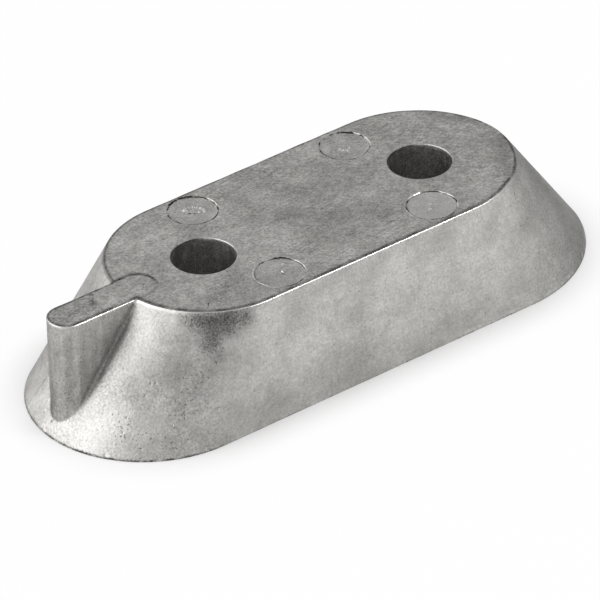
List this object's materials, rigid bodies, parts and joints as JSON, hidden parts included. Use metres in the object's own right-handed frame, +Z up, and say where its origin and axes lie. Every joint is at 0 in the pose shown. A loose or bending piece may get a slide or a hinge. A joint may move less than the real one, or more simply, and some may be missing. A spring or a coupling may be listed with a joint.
{
  "type": "sacrificial anode",
  "caption": "Bolt-on sacrificial anode: a cast metal block with a broad flat base, sloping rounded ends, through bolt bores and a rib on one end.",
  "frame": {"origin": "middle of the broad flat underside, which lies against the hull or drive", "axes": "+X along the length towards the plain end, with the rib on the -X end; +Z up, out of the bored top face"},
  "size_m": [0.1208, 0.046, 0.0238],
  "materials": {
    "casting": "as-cast, lightly handled"
  },
  "bodies": {
    "root": {"anode_casting": "casting"}
  },
  "joints": []
}
